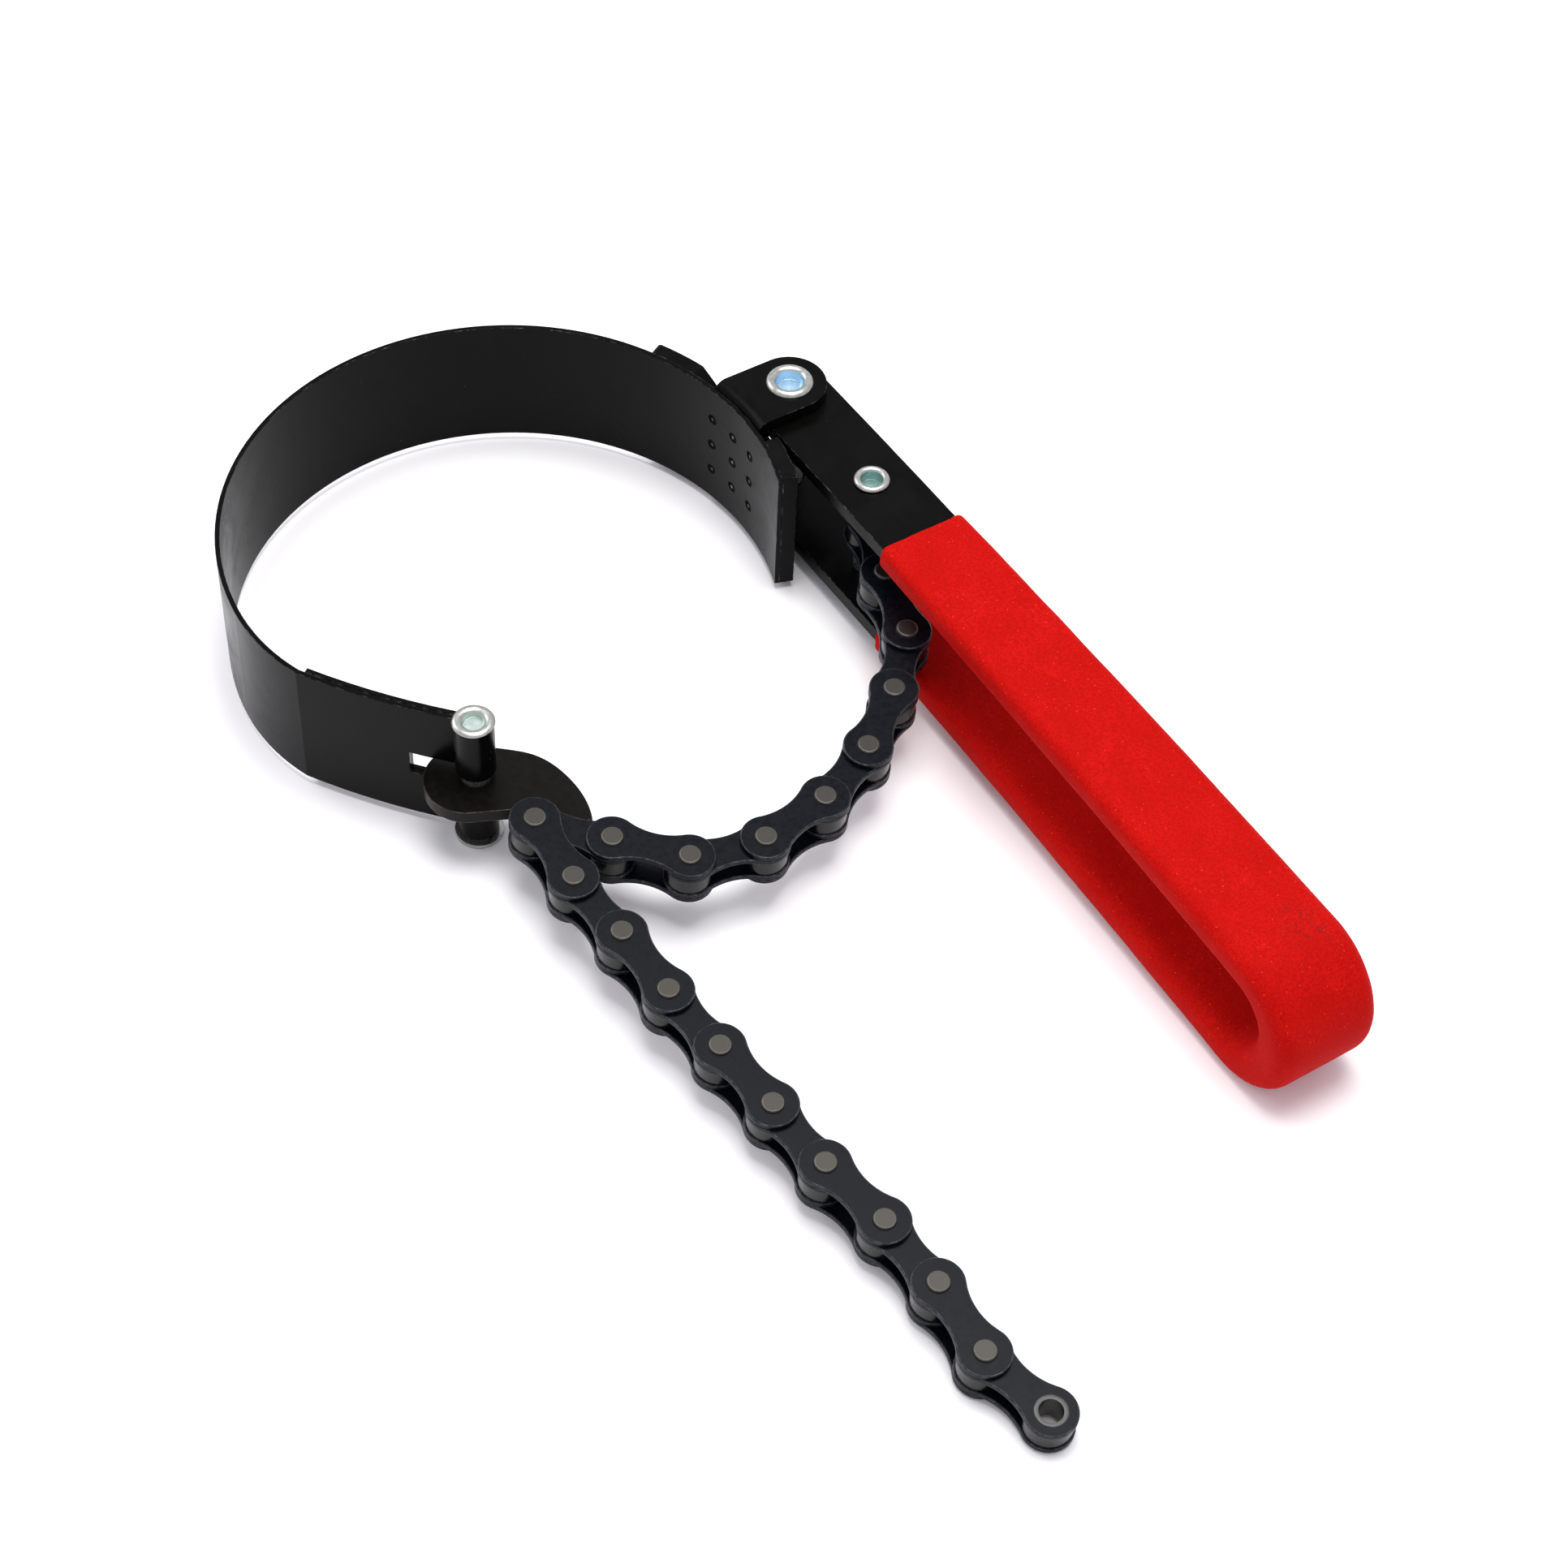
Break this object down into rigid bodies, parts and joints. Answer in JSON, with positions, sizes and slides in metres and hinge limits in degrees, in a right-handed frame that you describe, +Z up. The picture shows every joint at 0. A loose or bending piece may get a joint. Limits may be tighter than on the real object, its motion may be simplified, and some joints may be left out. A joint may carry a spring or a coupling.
{
  "type": "oil filter wrench",
  "caption": "Oil filter wrench: a half-round steel band on a folded handle with a red grip, closed by a roller chain that catches in a swinging hook plate.",
  "frame": {"origin": "centre of the band's circle, on the surface the tool lies on", "axes": "+Z up along the filter's axis, +X along the handle from its pivot towards its closed end"},
  "size_m": [0.2273, 0.1175, 0.0291],
  "materials": {
    "black_enamel": "semi-gloss black enamel, worn bright on the edges",
    "red_vinyl": "matte dip-coated vinyl",
    "zinc": "zinc plated, satin",
    "browned_steel": "dark brown-black oxide",
    "blued_steel": "blue-black oxide, thin oil film",
    "roller_steel": "dark polished steel",
    "pin_steel": "bare ground steel"
  },
  "bodies": {
    "jaw": {"band": "black_enamel", "bracket": "black_enamel", "pivot_rivet": "zinc", "hook_rivet": "zinc"},
    "handle": {"handle_strap": "black_enamel", "grip_sleeve": "red_vinyl", "chain_rivet": "zinc"},
    "hook": {"hook_plate": "browned_steel"},
    "link_01": {"link_01_plates": "blued_steel", "link_01_bushes": "pin_steel", "link_01_rollers": "roller_steel"},
    "link_02": {"link_02_plates": "blued_steel", "link_02_pins": "pin_steel"},
    "link_03": {"link_03_plates": "blued_steel", "link_03_bushes": "pin_steel", "link_03_rollers": "roller_steel"},
    "link_04": {"link_04_plates": "blued_steel", "link_04_pins": "pin_steel"},
    "link_05": {"link_05_plates": "blued_steel", "link_05_bushes": "pin_steel", "link_05_rollers": "roller_steel"},
    "link_06": {"link_06_plates": "blued_steel", "link_06_pins": "pin_steel"},
    "link_07": {"link_07_plates": "blued_steel", "link_07_bushes": "pin_steel", "link_07_rollers": "roller_steel"},
    "link_08": {"link_08_plates": "blued_steel", "link_08_pins": "pin_steel"},
    "link_09": {"link_09_plates": "blued_steel", "link_09_bushes": "pin_steel", "link_09_rollers": "roller_steel"},
    "link_10": {"link_10_plates": "blued_steel", "link_10_pins": "pin_steel"},
    "link_11": {"link_11_plates": "blued_steel", "link_11_bushes": "pin_steel", "link_11_rollers": "roller_steel"},
    "link_12": {"link_12_plates": "blued_steel", "link_12_pins": "pin_steel"},
    "link_13": {"link_13_plates": "blued_steel", "link_13_bushes": "pin_steel", "link_13_rollers": "roller_steel"},
    "link_14": {"link_14_plates": "blued_steel", "link_14_pins": "pin_steel"},
    "link_15": {"link_15_plates": "blued_steel", "link_15_bushes": "pin_steel", "link_15_rollers": "roller_steel"},
    "link_16": {"link_16_plates": "blued_steel", "link_16_pins": "pin_steel"},
    "link_17": {"link_17_plates": "blued_steel", "link_17_bushes": "pin_steel", "link_17_rollers": "roller_steel"},
    "link_18": {"link_18_plates": "blued_steel", "link_18_pins": "pin_steel"},
    "link_19": {"link_19_plates": "blued_steel", "link_19_bushes": "pin_steel", "link_19_rollers": "roller_steel"}
  },
  "joints": [
    {"name": "handle_swing", "type": "hinge", "parent": "jaw", "child": "handle", "pos_m": [-0.0033, 0.0578, 0.0143], "axis": [0, 0, 1], "range_deg": [0, 180]},
    {"name": "hook_swing", "type": "hinge", "parent": "jaw", "child": "hook", "pos_m": [0.0361, -0.02555, 0.0127], "axis": [0, 0, 1], "range_deg": [0, 110]},
    {"name": "chain_joint_01", "type": "hinge", "parent": "handle", "child": "link_01", "pos_m": [0.0222, 0.0582, 0.0149], "axis": [0.0755, 0, 0.9971], "range_deg": [0, 4]},
    {"name": "chain_joint_02", "type": "hinge", "parent": "link_01", "child": "link_02", "pos_m": [0.03398, 0.05355, 0.01401], "axis": [-0.0755, 0, -0.9971], "range_deg": [-8, 0]},
    {"name": "chain_joint_03", "type": "hinge", "parent": "link_02", "child": "link_03", "pos_m": [0.04618, 0.05015, 0.01308], "axis": [0.0755, 0, 0.9971], "range_deg": [0, 6]},
    {"name": "chain_joint_04", "type": "hinge", "parent": "link_03", "child": "link_04", "pos_m": [0.05552, 0.04157, 0.01238], "axis": [-0.0755, 0, -0.9971], "range_deg": [-16, 0]},
    {"name": "chain_joint_05", "type": "hinge", "parent": "link_04", "child": "link_05", "pos_m": [0.06332, 0.03157, 0.01179], "axis": [0.0755, 0, 0.9971], "range_deg": [0, 36]},
    {"name": "chain_joint_06", "type": "hinge", "parent": "link_05", "child": "link_06", "pos_m": [0.06857, 0.02001, 0.01139], "axis": [-0.0755, 0, -0.9971], "range_deg": [-32, 0]},
    {"name": "chain_joint_07", "type": "hinge", "parent": "link_06", "child": "link_07", "pos_m": [0.07077, 0.0075, 0.01122], "axis": [0.0755, 0, 0.9971], "range_deg": [0, 36]},
    {"name": "chain_joint_08", "type": "hinge", "parent": "link_07", "child": "link_08", "pos_m": [0.06803, -0.0049, 0.01143], "axis": [-0.0755, 0, -0.9971], "range_deg": [-32, 0]},
    {"name": "chain_joint_09", "type": "hinge", "parent": "link_08", "child": "link_09", "pos_m": [0.05907, -0.01388, 0.01211], "axis": [0.0755, 0, 0.9971], "range_deg": [0, 28]},
    {"name": "chain_joint_10", "type": "hinge", "parent": "link_09", "child": "link_10", "pos_m": [0.04996, -0.0227, 0.0128], "axis": [-0.0755, 0, -0.9971], "range_deg": [0, 90]},
    {"name": "chain_joint_11", "type": "hinge", "parent": "link_10", "child": "link_11", "pos_m": [0.06262, -0.02292, 0.01184], "axis": [-0.0755, 0, -0.9971], "range_deg": [-28, 90]},
    {"name": "chain_joint_12", "type": "hinge", "parent": "link_11", "child": "link_12", "pos_m": [0.07521, -0.02148, 0.01088], "axis": [0.0755, 0, 0.9971], "range_deg": [-90, 32]},
    {"name": "chain_joint_13", "type": "hinge", "parent": "link_12", "child": "link_13", "pos_m": [0.08784, -0.0206, 0.00993], "axis": [-0.0755, 0, -0.9971], "range_deg": [-38, 90]},
    {"name": "chain_joint_14", "type": "hinge", "parent": "link_13", "child": "link_14", "pos_m": [0.10039, -0.01894, 0.00898], "axis": [0.0755, 0, 0.9971], "range_deg": [-90, 48]},
    {"name": "chain_joint_15", "type": "hinge", "parent": "link_14", "child": "link_15", "pos_m": [0.11295, -0.01728, 0.00802], "axis": [-0.0755, 0, -0.9971], "range_deg": [-70, 90]},
    {"name": "chain_joint_16", "type": "hinge", "parent": "link_15", "child": "link_16", "pos_m": [0.12553, -0.01585, 0.00707], "axis": [0.0755, 0, 0.9971], "range_deg": [-90, 90]},
    {"name": "chain_joint_17", "type": "hinge", "parent": "link_16", "child": "link_17", "pos_m": [0.13794, -0.01331, 0.00613], "axis": [-0.0755, 0, -0.9971], "range_deg": [-90, 90]},
    {"name": "chain_joint_18", "type": "hinge", "parent": "link_17", "child": "link_18", "pos_m": [0.15055, -0.0121, 0.00518], "axis": [0.0755, 0, 0.9971], "range_deg": [-90, 90]},
    {"name": "chain_joint_19", "type": "hinge", "parent": "link_18", "child": "link_19", "pos_m": [0.16321, -0.01232, 0.00422], "axis": [-0.0755, 0, -0.9971], "range_deg": [-90, 90]}
  ]
}
